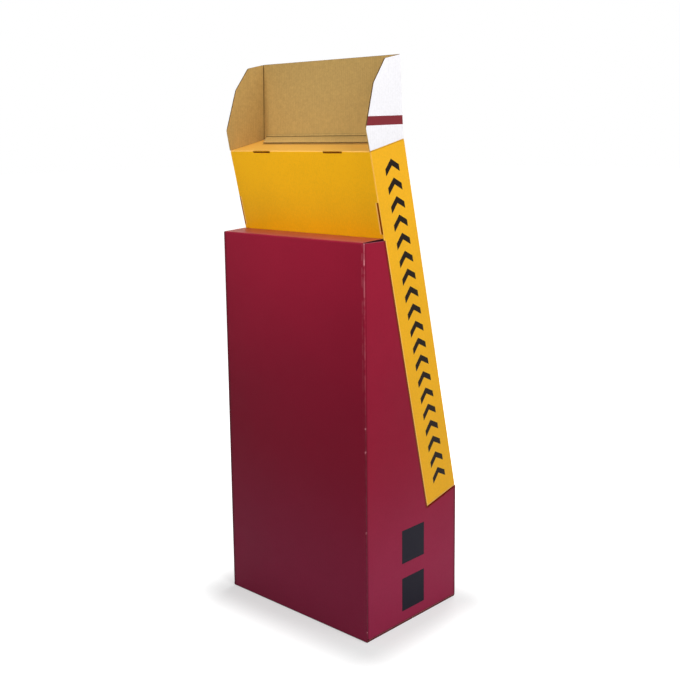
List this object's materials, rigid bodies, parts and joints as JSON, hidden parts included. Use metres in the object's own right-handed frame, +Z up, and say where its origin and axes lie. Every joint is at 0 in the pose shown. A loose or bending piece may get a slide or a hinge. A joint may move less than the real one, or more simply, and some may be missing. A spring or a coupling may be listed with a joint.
{
  "type": "floor display stand",
  "caption": "Free-standing corrugated board display: box base with a slanted seat, a leaning roll-over tray with shelves, and a folded header card on top.",
  "frame": {"origin": "on the floor under the middle of the base box", "axes": "+Z up, the open front faces -Y, +X to the right seen from the front"},
  "size_m": [0.5, 0.359, 1.4249],
  "materials": {
    "base_print": "satin print on corrugated board",
    "plain_kraft": "uncoated kraft",
    "tray_print": "satin print on corrugated board",
    "shelf_print": "satin print on corrugated board",
    "header_print": "satin white liner over kraft"
  },
  "bodies": {
    "root": {"base_box": "base_print", "support_partition": "plain_kraft", "product_tray": "tray_print", "shelf_lower": "shelf_print", "shelf_middle": "shelf_print", "shelf_upper": "shelf_print", "header_card": "header_print"}
  },
  "joints": []
}
